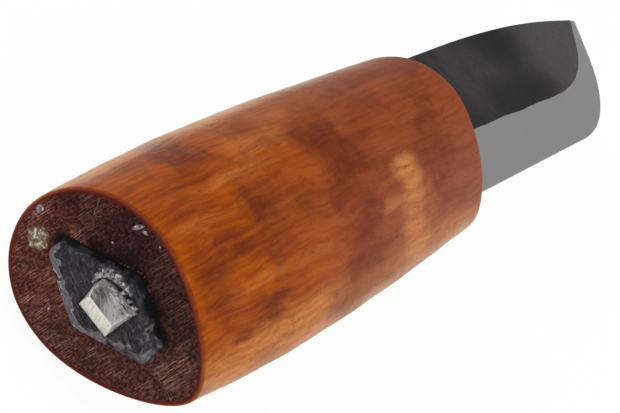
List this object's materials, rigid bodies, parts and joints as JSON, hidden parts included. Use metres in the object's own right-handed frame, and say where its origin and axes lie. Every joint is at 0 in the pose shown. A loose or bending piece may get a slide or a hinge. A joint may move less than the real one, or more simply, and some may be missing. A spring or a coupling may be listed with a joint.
{
  "type": "whittling knife",
  "caption": "Fixed-blade whittling knife: forged scandi-ground blade with a through tang peened over a lozenge washer on an egg-section burl handle.",
  "frame": {"origin": "middle of the knife's box on the surface it lies on", "axes": "+X from the butt to the blade's point, +Y from the cutting edge to the spine, +Z the normal of the blade's flat; the knife lies on its side"},
  "size_m": [0.204, 0.0298, 0.0215],
  "materials": {
    "blade_steel": "black forge scale on the flats, satin ground bevels",
    "burl_wood": "oiled and polished burl, dark sanded end grain at the butt",
    "washer_steel": "blue-black forged mild steel with filed edges",
    "bedding_resin": "cured resin"
  },
  "bodies": {
    "root": {"blade": "blade_steel", "handle": "burl_wood", "tang_washer": "washer_steel", "tang_bedding": "bedding_resin"}
  },
  "joints": []
}
